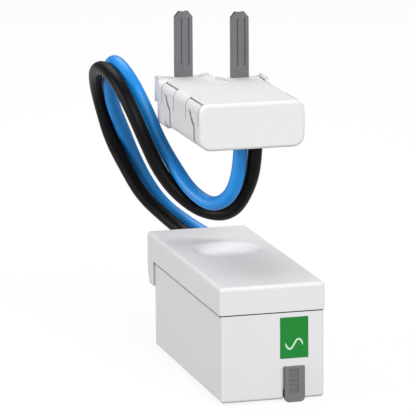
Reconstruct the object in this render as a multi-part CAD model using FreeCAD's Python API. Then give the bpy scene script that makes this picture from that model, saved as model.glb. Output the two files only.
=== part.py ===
# Wireless energy sensor for a modular circuit breaker, with its two-pin plug head on two leads.
# Millimetres. X is the width, +Y runs from the front face to the rear, +Z is up.
# The origin is at the middle of the housing's footprint, on the surface that it stands on.

import FreeCAD, Part
import math
import os

V = FreeCAD.Vector
os.makedirs("parts", exist_ok=True)

# Housing
housing_width = 17.5
housing_depth = 42.3
housing_height = 19.3
cap_height = 4.65
pad_height = 0.45
wall = 1.1
floor_thickness = 1.2
roof_thickness = 1.2
edge_radius = 0.5
bottom_edge_radius = 0.5
cap_edge_radius = 0.6
cap_overhang = 0.2
pad_corner = 0.8
inner_radius = 0.5
seam_gap = 0.16
lip_height = 1.2
lip_thickness = 0.5
fit_gap = 0.05
pad_side_inset = 1.8
pad_front_inset = 2.8
pad_rear_inset = 1.8

# Rear skirt of the cover
skirt_depth = 4.55
skirt_drop = 8.9
skirt_straight = 5.7
skirt_taper = 1.7
skirt_wall = 0.9

# Conductor tunnel
tunnel_mouth_round = 1.9
tunnel_from_front = 28.8
tunnel_offset = 0.5
liner_wall = 0.7
collar_wall = 0.6
collar_depth = 3.4
tunnel_foot_chamfer = 0.8

# Lock latch and its slot
latch_offset = 3.53
latch_width = 3.46
latch_proud = 0.6
latch_plate_top = 6.05
latch_foot = 0.05
latch_travel = 1.1
latch_nib_height = 0.9
latch_nib_reach = 1.0
latch_gap = 0.15
latch_plate_gap = 0.1
latch_corner = 0.8
latch_stem_width = 2.3
latch_stem_bottom = 3.2
latch_stem_height = 1.3
latch_flange_width = 3.3
latch_flange_thickness = 0.8
latch_flange_height = 1.8
latch_panel_inset = (0.75, 1.1)
latch_panel_depth = 0.14
latch_ridge_pitch = 0.85
latch_ridge_height = 0.4
latch_ridges = 4
spring_height = 2.2
spring_strip = 0.15
spring_width = 1.6
spring_depth = 1.5
stop_thickness = 0.7

# Window on the front face
window_offset = 3.62
window_width = 4.82
window_over_latch = 0.15
window_under_seam = 0.87
window_thickness = 0.6
guide_width = 2.4
guide_height = 1.6
guide_over_board = 1.4
guide_reach = 1.8

# Leads and their strain relief
lead_diameter = 2.4
core_diameter = 1.3
lead_pitch = 3.6
lead_middle = 2.1
lead_over_wall = 0.68
collar_out = 0.75
collar_sleeve = 0.4
bushing_thickness = 0.8
bushing_margin = 0.9
bushing_rise = 1.5
bushing_drop = 2.0
exit_run = 4.0
entry_run = (6.3, 5.9)
lead_middle_black = [
    (-3.7, 33.3, 20.8), (-6.8, 36.3, 23.8), (-8.8, 38.9, 28.2), (-10.8, 41.3, 32.8), (-12.0, 41.9, 38.1),
    (-13.7, 39.6, 42.8), (-15.2, 34.6, 46.4), (-14.9, 28.6, 47.8), (-13.7, 23.3, 45.8), (-12.1, 19.9, 41.6),
    (-10.2, 18.6, 36.6), (-8.2, 18.5, 31.6), (-5.4, 18.0, 27.4), (-1.3, 15.4, 24.2), (2.7, 11.3, 24.3),
    (4.9, 7.4, 28.8),
]
lead_middle_blue = [
    (1.1, 33.1, 18.2), (-2.4, 37.2, 21.2), (-4.9, 39.7, 25.2), (-6.9, 40.9, 30.2), (-8.6, 40.3, 34.8),
    (-10.8, 39.1, 38.7), (-11.8, 37.1, 43.2), (-12.4, 33.8, 47.6), (-12.3, 28.9, 48.8), (-11.1, 24.2, 46.2),
    (-9.3, 21.4, 41.2), (-7.6, 20.2, 36.4), (-5.3, 18.4, 32.4), (-3.5, 15.1, 28.2), (-0.9, 10.4, 26.4),
    (2.0, 5.9, 29.0),
]

# Plug head
plug_offset = 1.4
plug_from_front = 16.0
plug_bottom = 39.2
plug_width = 18.2
plug_depth = 27.3
plug_height = 7.85
plug_wall = 1.1
plug_top_round = 1.5
plug_face_round = 0.6
plug_bottom_round = 2.0
heel_round = 0.9
heel_run = 4.6
rail_out = 1.8
rail_height = 4.0
rail_thickness = (2.8, 4.2)
rail_rise = 0.32
rail_profile = (
    ((0, 1), (0.15, 0.65), (0.34, 0), (0.7, 0), (0.82, 0.25), (0.9, 1.05), (0.97, 0.95), (1, 0.2)),
    ((0, 0.95), (0.09, 0.3), (0.17, 0), (0.83, 0), (0.92, 0.5), (0.955, 1.3), (0.985, 1.2), (1, 0.6)),
)
bay_step = 3.66
bay_from_right = 8.4
base_thickness = 1.2
entry_offset = (4.0, 1.4)
entry_from_front = 12.0
entry_inside = 1.7

# Snap tongues in the sides of the plug's cover, and the arms of its base that hook into them
snap_width = 7.9
snap_height = 3.75
snap_roof_reach = 1.08
snap_side_gap = 0.16
snap_top_gap = 0.38
snap_arm = 0.9
snap_barb = (0.4, 1.2)
snap_barb_shift = -1.9
snap_from_front = (5.0, 20.5)
slit_width = 0.7
slit_depth = 0.5
slit_bends = ((1.2, 1.95), (0.6, 2.9), (-1.35, 4.1))

# Pins
pin_pitch = 9.0
pin_shift = 0.42
pin_width = 3.15
pin_thickness = 0.8
pin_length = 11.42
pin_setback = 0.1
pin_shoulder = 0.95
pin_tip_width = 1.6
pin_tip_dip = 0.12
pin_slot_gap = 0.06
groove_width = 0.4
groove_depth = 0.22
groove_spacing = 1.3
groove_shift = 0.1
groove_low = 2.1
groove_high = 10.3
shank_clearance = 0.1
bend_radius = 0.5
lead_entry_gap = 0.1
barrel_diameter = 2.3
barrel_bore = 1.4
barrel_waist = 0.2
core_reach = 1.9
carrier_from_front = (15.5, 21.2)
carrier_rib = 0.6

# Boards and components
board_thickness = 1.0
board_stand = 4.25
board_gap = 0.15
board_from_front = 3.4
board_bay_depth = 5.5
board_rib = 0.9
terminal_board_drop = 0.35
terminal_board_clear = 0.4
guide_rib = 0.7
coil_gap = 0.1
coil_section = 1.95
coil_height = 6.4
coil_bottom = 2.6
core_share = 0.46
core_height = 4.6
coil_turns = 20
coil_share = 0.82
capacitor_size = (4.6, 8.6)
capacitor_gap = 0.28
buffer_radius = 2.5
buffer_height = 7.0
resistor_radius = 1.2
resistor_length = 6.5
varistor_radius = 3.5
varistor_thickness = 2.8
chip_size = (4.4, 5.0, 1.1)
chip_leg_pitch = 1.0
chip_legs = 4
chip_gap = 0.45
buffer_gap = 0.25
shield_size = (7.0, 6.0, 1.7)
shield_sheet = 0.2
antenna_height = 5.0
antenna_sheet = 0.4
led_size = (1.6, 1.5, 1.1)
link_diameter = 0.9
link_bend = 1.6
link_under_seam = 2.7

# Places that follow from the sizes
half_width = housing_width / 2
overall_depth = latch_proud + housing_depth + skirt_depth + collar_out
front_y = latch_proud - overall_depth / 2
rear_y = front_y + housing_depth
back_y = rear_y + skirt_depth
collar_y = back_y + collar_out
bottom_z = pad_height
floor_z = bottom_z + floor_thickness
top_z = bottom_z + housing_height
roof_z = top_z - roof_thickness
seam_z = top_z - cap_height
tub_top = seam_z - seam_gap / 2
cover_bottom = seam_z + seam_gap / 2
lip_top = tub_top + lip_height
collar_bottom = top_z - collar_depth
tunnel_y = front_y + tunnel_from_front
window_bottom = latch_plate_top + latch_travel + window_over_latch
window_top = seam_z - window_under_seam
board_front = front_y + board_from_front
board_rear = tunnel_y - board_bay_depth
board_bottom = floor_z + board_stand
board_top = board_bottom + board_thickness
board_half = half_width - wall - board_gap
guide_bottom = board_top + guide_over_board
terminal_board_top = roof_z - terminal_board_drop
coil_outer_radius = half_width - wall - tunnel_offset - coil_gap
coil_inner_radius = coil_outer_radius - coil_section
core_band = core_share * coil_section
tunnel_radius = coil_inner_radius - coil_gap - liner_wall
capacitor_back = tunnel_y - coil_outer_radius - 2 * board_gap
chip_y = capacitor_back - capacitor_size[0] - chip_gap - chip_size[1] / 2
buffer_y = chip_y - chip_size[1] / 2 - buffer_gap - buffer_radius
link_height = seam_z - link_under_seam
link_x = half_width - wall - link_diameter * 0.8
terminal_rear = rear_y - wall - terminal_board_clear
terminal_front = terminal_rear - board_thickness
lead_x = (lead_middle - lead_pitch / 2, lead_middle + lead_pitch / 2)
lead_z = tub_top + lead_over_wall + lead_diameter / 2
collar_diameter = lead_diameter + 2 * collar_sleeve
plug_left = plug_offset - plug_width / 2
plug_right = plug_offset + plug_width / 2
plug_front = front_y + plug_from_front
plug_back = plug_front + plug_depth
rail_back = plug_back + rail_out
bay_back = rail_back - bay_step
bay_edge = plug_right - bay_from_right
floor_y = bay_back - 2 * plug_wall
plug_top = plug_bottom + plug_height
plug_roof = plug_top - plug_wall
plate_top = plug_bottom + base_thickness
shank_top = plug_roof - shank_clearance
shank_bottom = shank_top - pin_thickness
pin_x = (plug_offset + pin_shift - pin_pitch / 2, plug_offset + pin_shift + pin_pitch / 2)
pin_y = (rail_back - pin_setback - pin_thickness, bay_back - pin_setback - pin_thickness)
entry_y = plug_front + entry_from_front
entry_z = plug_bottom + entry_inside
entry_black = (plug_offset + entry_offset[0], entry_y, entry_z)
entry_blue = (plug_offset + entry_offset[1], entry_y, entry_z)


def box(x0, x1, y0, y1, z0, z1):
    return Part.makeBox(x1 - x0, y1 - y0, z1 - z0, V(x0, y0, z0))


def rod(x, y, z0, z1, radius):
    return Part.makeCylinder(radius, z1 - z0, V(x, y, z0))


def rod_along_y(x, z, y0, y1, radius):
    return Part.makeCylinder(radius, y1 - y0, V(x, y0, z), V(0, 1, 0))


def runs_along(edge, axis):
    ends = edge.Vertexes
    if len(ends) != 2 or not isinstance(edge.Curve, Part.Line):
        return False
    direction = (ends[1].Point - ends[0].Point).normalize()
    return abs(direction.dot(axis)) > 0.999


def slab(x0, x1, y0, y1, z0, z1, radius):
    block = box(x0, x1, y0, y1, z0, z1)
    return block.makeFillet(radius, [edge for edge in block.Edges if runs_along(edge, V(0, 0, 1))])


def face_of(points):
    return Part.Face(Part.makePolygon([V(*point) for point in points + points[:1]]))


def prism_along_x(points, x0, x1):
    return face_of([(x0, y, z) for y, z in points]).extrude(V(x1 - x0, 0, 0))


def prism_along_y(points, y0, y1):
    return face_of([(x, y0, z) for x, z in points]).extrude(V(0, y1 - y0, 0))


def edges_at_height(shape, height):
    return [
        edge for edge in shape.Edges
        if abs(edge.BoundBox.ZMin - height) + abs(edge.BoundBox.ZMax - height) < 1e-4
    ]


def mirrored(shape, x):
    return shape.mirror(V(x, 0, 0), V(1, 0, 0))


def joined(shapes):
    return shapes[0].multiFuse(shapes[1:]).removeSplitter()


def export(shape, node):
    shape.exportStep("parts/" + node + ".step")


# Lower housing: a tub with the front face, the tunnel liner, the latch slot and the board ribs
def tub_shell():
    shell = slab(-half_width, half_width, front_y, rear_y, bottom_z, tub_top, edge_radius)
    shell = shell.makeFillet(bottom_edge_radius, edges_at_height(shell, bottom_z))
    lip_inset = wall - lip_thickness
    lip = slab(
        -half_width + lip_inset, half_width - lip_inset, front_y + lip_inset, rear_y - 2 * wall,
        tub_top - lip_height, lip_top, inner_radius,
    )
    cavity = slab(
        -half_width + wall, half_width - wall, front_y + wall, rear_y - wall,
        floor_z, lip_top + wall, inner_radius,
    )
    open_rear = box(-half_width, half_width, rear_y - 4 * wall, rear_y, tub_top, lip_top + wall)
    return shell.fuse(lip).cut(cavity).cut(open_rear)


def tub_supports():
    ribs = []
    side = half_width - wall
    for share in (0.12, 0.5, 0.88):
        y = board_front + share * (board_rear - board_front)
        for sign in (-1, 1):
            x0, x1 = sorted((sign * (side + fit_gap), sign * (side - board_rib)))
            ribs.append(box(x0, x1, y - board_rib / 2, y + board_rib / 2, floor_z - fit_gap, board_bottom))
    for y0 in (terminal_front - fit_gap - guide_rib, terminal_rear + fit_gap):
        for sign in (-1, 1):
            x0, x1 = sorted((sign * (side + fit_gap), sign * (side - board_rib)))
            y1 = min(y0 + guide_rib, rear_y - wall / 2)
            ribs.append(box(x0, x1, y0, y1, floor_z - fit_gap, link_height - link_diameter))
    seat = rod(tunnel_offset, tunnel_y, floor_z - fit_gap, coil_bottom, coil_inner_radius + core_band)
    return ribs + [seat]


def latch_frame():
    inner = front_y + wall
    half = latch_width / 2 + latch_gap
    notch_top = latch_foot + latch_nib_height + latch_travel + latch_gap
    sill = box(
        latch_offset - half - wall, latch_offset + half + wall, inner - fit_gap,
        front_y + latch_nib_reach + latch_gap + wall, floor_z - fit_gap, notch_top + wall / 2,
    )
    spring_top = latch_stem_bottom + latch_flange_height + spring_height
    stop = box(
        latch_offset - spring_width / 2 - latch_gap, latch_offset + spring_width / 2 + latch_gap,
        inner - fit_gap, inner + latch_gap + spring_depth + latch_gap, spring_top, spring_top + stop_thickness,
    )
    notch = box(
        latch_offset - half, latch_offset + half, front_y - wall,
        front_y + latch_nib_reach + latch_gap, 0, notch_top,
    )
    slot = box(
        latch_offset - latch_stem_width / 2 - latch_gap, latch_offset + latch_stem_width / 2 + latch_gap,
        front_y - wall, inner + fit_gap,
        latch_stem_bottom - latch_gap, latch_stem_bottom + latch_stem_height + latch_travel + latch_gap,
    )
    return [sill, stop], [notch, slot]


def window_outline(extra, y0, y1):
    half = window_width / 2 + extra
    return box(
        window_offset - half, window_offset + half, y0, y1,
        window_bottom - extra, window_top + extra,
    )


def guide_outline(extra, y0, y1):
    half = guide_width / 2 + extra
    return box(
        window_offset - half, window_offset + half, y0, y1,
        guide_bottom - extra, guide_bottom + guide_height + extra,
    )


def body_tub():
    pad = slab(
        -half_width + pad_side_inset, half_width - pad_side_inset,
        front_y + pad_front_inset, rear_y - pad_rear_inset, 0, floor_z - fit_gap, pad_corner,
    )
    liner = rod(
        tunnel_offset, tunnel_y, bottom_z + floor_thickness / 2, collar_bottom, tunnel_radius + liner_wall,
    )
    added, removed = latch_frame()
    tub = joined([tub_shell(), pad, liner] + tub_supports() + added)
    removed.append(window_outline(0, front_y - wall, front_y + window_thickness))
    removed.append(guide_outline(fit_gap, front_y, front_y + 2 * wall))
    removed.append(rod(tunnel_offset, tunnel_y, -wall, collar_bottom + wall, tunnel_radius))
    removed.append(Part.makeCone(
        tunnel_radius + tunnel_foot_chamfer + fit_gap, tunnel_radius,
        tunnel_foot_chamfer + fit_gap, V(tunnel_offset, tunnel_y, -fit_gap),
    ))
    for cutter in removed:
        tub = tub.cut(cutter)
    return tub


# Cover: cap, rear skirt and the rounded tunnel mouth
def skirt_profile(inset):
    front = rear_y + seam_gap if inset == 0 else rear_y + seam_gap + skirt_wall
    skirt_z = top_z - skirt_drop + inset
    straight_z = top_z - skirt_straight + inset / 3
    return front, skirt_z, straight_z


def cover_outer():
    front, skirt_z, straight_z = skirt_profile(0)
    outline = [
        (front_y, cover_bottom), (front_y, top_z), (back_y, top_z), (back_y, straight_z),
        (back_y - skirt_taper, skirt_z), (front, skirt_z), (front, cover_bottom),
    ]
    half = half_width + cap_overhang
    solid = prism_along_x(outline, -half, half)
    upright = [
        edge for edge in solid.Edges
        if runs_along(edge, V(0, 0, 1))
        and (edge.BoundBox.YMax < front_y + 0.01 or edge.BoundBox.YMin > back_y - 0.01)
    ]
    return solid.makeFillet(cap_edge_radius, upright + edges_at_height(solid, top_z))


def cover_hollow():
    cavity = slab(
        -half_width + wall, half_width - wall, front_y + wall, back_y - wall,
        cover_bottom - wall, roof_z, inner_radius,
    )
    front, skirt_z, straight_z = skirt_profile(skirt_wall)
    skirt_back = back_y - wall
    well = prism_along_x(
        [
            (front, cover_bottom + wall), (front, skirt_z),
            (skirt_back - skirt_taper, skirt_z), (skirt_back, straight_z), (skirt_back, cover_bottom + wall),
        ],
        -half_width + wall, half_width - wall,
    )
    above_skirt = box(-half_width, half_width, rear_y + seam_gap, back_y, cover_bottom - 2 * wall, cover_bottom)
    return cavity.cut(above_skirt).fuse(well)


def lip_rebate():
    inset = wall - lip_thickness - fit_gap
    return slab(
        -half_width + inset, half_width - inset, front_y + inset, rear_y - wall,
        cover_bottom - wall, lip_top, inner_radius,
    )


def mouth_cutter():
    mouth = tunnel_radius + tunnel_mouth_round
    centre_z = top_z - tunnel_mouth_round
    lean = tunnel_mouth_round * math.sqrt(0.5)
    rounding = Part.Arc(
        V(mouth, 0, top_z), V(mouth - lean, 0, centre_z + lean), V(tunnel_radius, 0, centre_z),
    ).toShape()
    low = collar_bottom - wall
    straight = Part.makePolygon([
        V(tunnel_radius, 0, centre_z), V(tunnel_radius, 0, low), V(0, 0, low),
        V(0, 0, top_z + wall), V(mouth, 0, top_z + wall), V(mouth, 0, top_z),
    ])
    profile = Part.Face(Part.Wire([rounding] + straight.Edges))
    cutter = profile.revolve(V(0, 0, 0), V(0, 0, 1), 360)
    cutter.translate(V(tunnel_offset, tunnel_y, 0))
    return cutter


def top_cover():
    mouth = tunnel_radius + tunnel_mouth_round
    cover = cover_outer().cut(cover_hollow()).cut(lip_rebate())
    collar = rod(tunnel_offset, tunnel_y, collar_bottom, roof_z + fit_gap, mouth + collar_wall)
    cover = cover.fuse(collar).cut(mouth_cutter())
    for x in lead_x:
        cover = cover.cut(rod_along_y(x, lead_z, back_y - 2 * wall, back_y + wall, collar_diameter / 2 + fit_gap))
    return cover


# Lock latch: the grip plate outside, the stem through the wall, the flange inside and the locking nib
def lock_latch():
    half = latch_width / 2
    plate_front = front_y - latch_proud
    plate_back = front_y - latch_plate_gap
    plate = box(latch_offset - half, latch_offset + half, plate_front, plate_back, latch_foot, latch_plate_top)
    low_corners = [
        edge for edge in plate.Edges if runs_along(edge, V(0, 1, 0)) and edge.BoundBox.ZMax < latch_foot + 0.01
    ]
    plate = plate.makeFillet(latch_corner, low_corners)
    panel_low = latch_foot + 2 * latch_corner
    panel_high = latch_plate_top - latch_corner / 2
    panel_left = latch_offset - half + latch_panel_inset[0]
    panel_right = latch_offset + half - latch_panel_inset[1]
    panel = box(
        panel_left, panel_right, plate_front - wall, plate_front + latch_panel_depth, panel_low, panel_high,
    )
    plate = plate.cut(panel)
    ridges = []
    for index in range(latch_ridges):
        z = panel_high - (index + 0.9) * latch_ridge_pitch
        profile = [
            (plate_front + latch_panel_depth + fit_gap, z - latch_ridge_height / 2),
            (plate_front + latch_panel_depth / 4, z - latch_ridge_height / 6),
            (plate_front + latch_panel_depth / 4, z + latch_ridge_height / 6),
            (plate_front + latch_panel_depth + fit_gap, z + latch_ridge_height / 2),
        ]
        ridges.append(prism_along_x(profile, panel_left - fit_gap, panel_right + fit_gap))
    stem = box(
        latch_offset - latch_stem_width / 2, latch_offset + latch_stem_width / 2,
        plate_back - fit_gap, front_y + wall + latch_plate_gap + fit_gap,
        latch_stem_bottom, latch_stem_bottom + latch_stem_height,
    )
    flange = box(
        latch_offset - latch_flange_width / 2, latch_offset + latch_flange_width / 2,
        front_y + wall + latch_plate_gap, front_y + wall + latch_plate_gap + latch_flange_thickness,
        latch_stem_bottom, latch_stem_bottom + latch_flange_height,
    )
    shelf = box(
        latch_offset - spring_width / 2 - latch_gap, latch_offset + spring_width / 2 + latch_gap,
        front_y + wall + latch_plate_gap, front_y + wall + latch_gap + spring_depth + latch_gap,
        latch_stem_bottom + latch_flange_height - spring_strip * 3, latch_stem_bottom + latch_flange_height,
    )
    nib = box(
        latch_offset - half + latch_corner, latch_offset + half - latch_corner,
        plate_back - fit_gap, front_y + latch_nib_reach, latch_foot, latch_foot + latch_nib_height,
    )
    return joined([plate, stem, flange, shelf, nib] + ridges)


def latch_spring():
    low = latch_stem_bottom + latch_flange_height
    high = low + spring_height - spring_strip
    near = front_y + wall + latch_gap
    far = near + spring_depth
    rise = (high - low) / 3
    bends = [(near, low), (far, low), (near, low + rise), (far, low + 2 * rise), (near, high), (far, high)]
    leaves = []
    for start, end in zip(bends, bends[1:]):
        strip = [start, end, (end[0], end[1] + spring_strip), (start[0], start[1] + spring_strip)]
        leaves.append(prism_along_x(strip, latch_offset - spring_width / 2, latch_offset + spring_width / 2))
    return joined(leaves)


# Coloured window with its light guide, and the lamp behind it
def status_window():
    plate = window_outline(-fit_gap, front_y, front_y + window_thickness)
    guide = guide_outline(0, front_y + window_thickness / 2, front_y + wall + guide_reach)
    return plate.fuse(guide).removeSplitter()


def status_led():
    width, depth, height = led_size
    y0 = front_y + wall + guide_reach + 2 * fit_gap + board_gap * 3
    base = box(window_offset - width / 2, window_offset + width / 2, y0, y0 + depth, board_top, board_top + height)
    lens = Part.makeSphere(width / 3, V(window_offset, y0 + depth / 2, board_top + height))
    return base.fuse(lens).removeSplitter()


# Circuit boards
def main_board():
    board = slab(-board_half, board_half, board_front, board_rear, board_bottom, board_top, inner_radius)
    bay = rod(tunnel_offset, tunnel_y, board_bottom - wall, board_top + wall, coil_outer_radius + board_gap)
    return board.cut(bay)


def terminal_board():
    board = box(-board_half, board_half, terminal_front, terminal_rear, floor_z, terminal_board_top)
    for x in lead_x:
        hole = rod_along_y(x, lead_z, terminal_front - wall, terminal_rear + wall, core_diameter / 2 + fit_gap)
        board = board.cut(hole)
    return board


# Current transformer around the tunnel
def ring_profile(inner, outer, low, high):
    return [(inner, 0, low), (outer, 0, low), (outer, 0, high), (inner, 0, high)]


def core_limits():
    middle = (coil_inner_radius + coil_outer_radius) / 2
    middle_z = coil_bottom + coil_height / 2
    return middle - core_band / 2, middle + core_band / 2, middle_z - core_height / 2, middle_z + core_height / 2


def ct_core():
    ring = face_of(ring_profile(*core_limits())).revolve(V(0, 0, 0), V(0, 0, 1), 360)
    ring.translate(V(tunnel_offset, tunnel_y, 0))
    return ring


def ct_winding():
    inner, outer, low, high = core_limits()
    block = face_of(ring_profile(coil_inner_radius, coil_outer_radius, coil_bottom, coil_bottom + coil_height))
    hole = face_of(ring_profile(inner - fit_gap, outer + fit_gap, low - fit_gap, high + fit_gap))
    section = block.cut(hole)
    turn = 360 / coil_turns
    turns = []
    for index in range(coil_turns):
        bundle = section.revolve(V(0, 0, 0), V(0, 0, 1), turn * coil_share)
        bundle.rotate(V(0, 0, 0), V(0, 0, 1), index * turn)
        bundle.translate(V(tunnel_offset, tunnel_y, 0))
        turns.append(bundle)
    return Part.makeCompound(turns)


# Components on the boards
def dropper_capacitor():
    depth, height = capacitor_size
    half = link_x - link_diameter / 2 - capacitor_gap
    body = box(-half, half, capacitor_back - depth, capacitor_back, board_top, board_top + height)
    return body.makeFillet(board_gap * 2, [edge for edge in body.Edges if runs_along(edge, V(0, 0, 1))])


def buffer_capacitors():
    cans = []
    y = buffer_y
    for index in range(2):
        x = -board_half + buffer_radius * 1.15 + index * (buffer_radius * 2 + board_gap * 2)
        can = rod(x, y, board_top, board_top + buffer_height, buffer_radius)
        groove = board_top + buffer_height * 0.15
        around = rod(x, y, groove - board_gap * 2, groove + board_gap * 2, buffer_radius + board_gap)
        kept = rod(x, y, board_top, board_top + buffer_height, buffer_radius - board_gap)
        cans.append(can.cut(around.cut(kept)))
    return Part.makeCompound(cans)


def fuse_resistor():
    x = board_half - resistor_radius * 2
    z0 = floor_z + resistor_radius * 2
    y = terminal_front - resistor_radius
    body = Part.makeCylinder(resistor_radius, resistor_length, V(x, y, z0))
    wire_bottom = z0 - resistor_radius / 2
    wire = rod(x, y, wire_bottom, wire_bottom + resistor_length + resistor_radius, resistor_radius / 4)
    return body.fuse(wire).removeSplitter()


def varistor():
    x = -half_width + wall + board_rib + varistor_radius + board_gap
    z = floor_z + varistor_radius * 1.5
    disc = rod_along_y(x, z, terminal_front - varistor_thickness, terminal_front, varistor_radius)
    return disc.makeChamfer(varistor_thickness / 5, [disc.Edges[0], disc.Edges[2]])


def meter_chip():
    width, depth, height = chip_size
    x = board_half - width
    y = chip_y
    body = box(x - width / 2, x + width / 2, y - depth / 2, y + depth / 2, board_top, board_top + height)
    leg = chip_leg_pitch / 3
    legs = []
    for index in range(chip_legs):
        along = y + (index - (chip_legs - 1) / 2) * chip_leg_pitch
        legs.append(box(
            x - width / 2 - leg * 2, x + width / 2 + leg * 2, along - leg / 2, along + leg / 2,
            board_top, board_top + leg,
        ))
    return joined([body] + legs)


def radio_shield():
    width, depth, height = shield_size
    y = (board_front + board_rear) / 2
    outer = box(-width / 2, width / 2, y - depth / 2, y + depth / 2, board_bottom - height, board_bottom)
    inner = box(
        -width / 2 + shield_sheet, width / 2 - shield_sheet,
        y - depth / 2 + shield_sheet, y + depth / 2 - shield_sheet,
        board_bottom - height + shield_sheet, board_bottom + shield_sheet,
    )
    return outer.cut(inner)


def radio_antenna():
    x0 = -board_half + board_gap * 2
    y0 = board_front + board_gap * 2
    top = board_top + antenna_height
    leg_a = box(x0, x0 + 2 * antenna_sheet, y0, y0 + antenna_sheet, board_top, top)
    leg_b = leg_a.translated(V(antenna_sheet * 5, 0, 0))
    bar = box(x0, x0 + antenna_height * 1.6, y0, y0 + antenna_sheet, top - 2 * antenna_sheet, top)
    return joined([leg_a, leg_b, bar])


def link_wires():
    wires = []
    end_y = board_rear - board_bay_depth / 3
    for sign in (-1, 1):
        x = sign * link_x
        start = V(x, terminal_front, link_height)
        corner = V(x, end_y, link_height)
        foot = V(x, end_y, board_top)
        path, _ = cord_path([start, corner, foot], link_bend)
        wires.append(tube(path, start, V(0, -1, 0), link_diameter / 2))
    return Part.makeCompound(wires)


# Leads
def cord_path(points, radius=None):
    edges = []
    radii = []
    last = points[0]
    for index in range(1, len(points) - 1):
        before = points[index] - points[index - 1]
        after = points[index + 1] - points[index]
        shorter = min(before.Length, after.Length)
        half_turn = before.getAngle(after) / 2
        bend = radius or 0.45 * shorter / math.tan(half_turn)
        radii.append(bend)
        before.normalize()
        after.normalize()
        tangent = bend * math.tan(half_turn)
        start = points[index] - before * tangent
        end = points[index] + after * tangent
        inward = (after - before).normalize()
        middle = points[index] + inward * (bend / math.cos(half_turn) - bend)
        edges.append(Part.LineSegment(last, start).toShape())
        edges.append(Part.Arc(start, middle, end).toShape())
        last = end
    edges.append(Part.LineSegment(last, points[-1]).toShape())
    return Part.Wire(edges), radii


def tube(path, start, direction, radius):
    section = Part.Wire([Part.makeCircle(radius, start, direction)])
    return path.makePipeShell([section], True, False)


def lead_points(index, middle, entry):
    exits = [(lead_x[index], collar_y, lead_z), (lead_x[index], collar_y + exit_run, lead_z)]
    entries = [(entry[0], entry[1], entry[2] - entry_run[index]), entry]
    return [V(*point) for point in exits + middle + entries]


def lead(name, points):
    path, radii = cord_path(points)
    sheath = tube(path, points[0], points[1] - points[0], lead_diameter / 2)
    ratio = sheath.Volume / (math.pi * lead_diameter ** 2 / 4 * path.Length)
    print(name, "length", round(path.Length, 1), "volume ratio", round(ratio, 4))
    print(name, "radii", [round(bend, 1) for bend in radii])
    end = points[-1]
    core = rod(end.x, end.y, end.z - lead_diameter, end.z + core_reach, core_diameter / 2)
    return sheath.fuse(core).removeSplitter()


def inner_leads():
    tails = []
    for x in lead_x:
        sheath = rod_along_y(x, lead_z, terminal_rear, collar_y, lead_diameter / 2)
        core = rod_along_y(x, lead_z, terminal_front - core_diameter / 2, terminal_rear + wall, core_diameter / 2)
        tails.append(sheath.fuse(core).removeSplitter())
    return Part.makeCompound(tails)


def lead_bushing():
    reach = lead_pitch / 2 + collar_diameter / 2 + bushing_margin
    inner = back_y - wall - bushing_thickness
    plate = box(
        lead_middle - reach, lead_middle + reach, inner, back_y - wall,
        lead_z - bushing_drop, lead_z + bushing_rise,
    )
    plate = plate.makeFillet(bushing_margin, [edge for edge in plate.Edges if runs_along(edge, V(0, 1, 0))])
    pieces = [plate]
    for x in lead_x:
        collar = rod_along_y(x, lead_z, inner + fit_gap, collar_y, collar_diameter / 2)
        rim = [edge for edge in collar.Edges if abs(edge.BoundBox.YMin - collar_y) < 1e-4]
        pieces.append(collar.makeChamfer(collar_sleeve / 2, rim))
    bushing = joined(pieces)
    for x in lead_x:
        bushing = bushing.cut(rod_along_y(x, lead_z, inner - wall, collar_y + wall, lead_diameter / 2 + fit_gap))
    return bushing


# Plug head
def corner_arc(x, z, turn, side, up):
    """The rounded corner of the plug's section: side and up are -1 or 1."""
    lean = turn * (1 - math.sqrt(0.5))
    start, end = V(x, plug_front, z - up * turn), V(x - side * turn, plug_front, z)
    return Part.Arc(start, V(x - side * lean, plug_front, z - up * lean), end).toShape()


def plug_section(foot):
    left, right, low, high, top = plug_left, plug_right, plug_bottom, plug_top, plug_top_round
    front = plug_front
    return Part.Face(Part.Wire([
        Part.makeLine(V(left, front, low + foot), V(left, front, high - top)),
        corner_arc(left, high, top, -1, 1),
        Part.makeLine(V(left + top, front, high), V(right - top, front, high)),
        corner_arc(right, high, top, 1, 1),
        Part.makeLine(V(right, front, high - top), V(right, front, low + foot)),
        corner_arc(right, low, foot, 1, -1),
        Part.makeLine(V(right - foot, front, low), V(left + foot, front, low)),
        corner_arc(left, low, foot, -1, -1),
    ]))


def plug_outer():
    block = plug_section(plug_bottom_round).extrude(V(0, plug_back - plug_front, 0))
    rim = [edge for edge in block.Edges if edge.BoundBox.YMax < plug_front + 0.01]
    heel = plug_section(heel_round).extrude(V(0, heel_run, 0))
    heel = heel.translated(V(0, plug_back - heel_run - plug_front, 0))
    block = joined([block.makeFillet(plug_face_round, rim), heel])
    bay = box(bay_edge, plug_right + wall, bay_back, rail_back + wall, plug_bottom - wall, plug_top + wall)
    return block.cut(bay)


def rear_rail(index):
    x0, x1, back = ((plug_left, bay_edge, rail_back), (bay_edge, plug_right, bay_back))[index]
    crest = [(x0 + share * (x1 - x0), plug_top + rise * rail_rise) for share, rise in rail_profile[index]]
    low = plug_top - rail_height
    return prism_along_y(crest + [(x1, low), (x0, low)], back - rail_thickness[index], back)


def pin_channel(index):
    x = pin_x[index]
    half = pin_width / 2 + pin_slot_gap
    slot = box(
        x - half, x + half, pin_y[index] - pin_slot_gap, pin_y[index] + pin_thickness + wall,
        shank_bottom - shank_clearance, plug_top + wall,
    )
    run = box(
        x - half, x + half, floor_y, pin_y[index] + pin_thickness,
        shank_bottom - shank_clearance, shank_top + pin_slot_gap,
    )
    return slot.fuse(run)


def snap_y(index):
    return plug_front + snap_from_front[index]


def tongue_outline(index, gap, roof_gap, low):
    half = snap_width / 2 - gap
    return box(
        plug_left - wall, plug_left + snap_roof_reach - roof_gap,
        snap_y(index) - half, snap_y(index) + half, low, plug_top + wall,
    )


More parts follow.
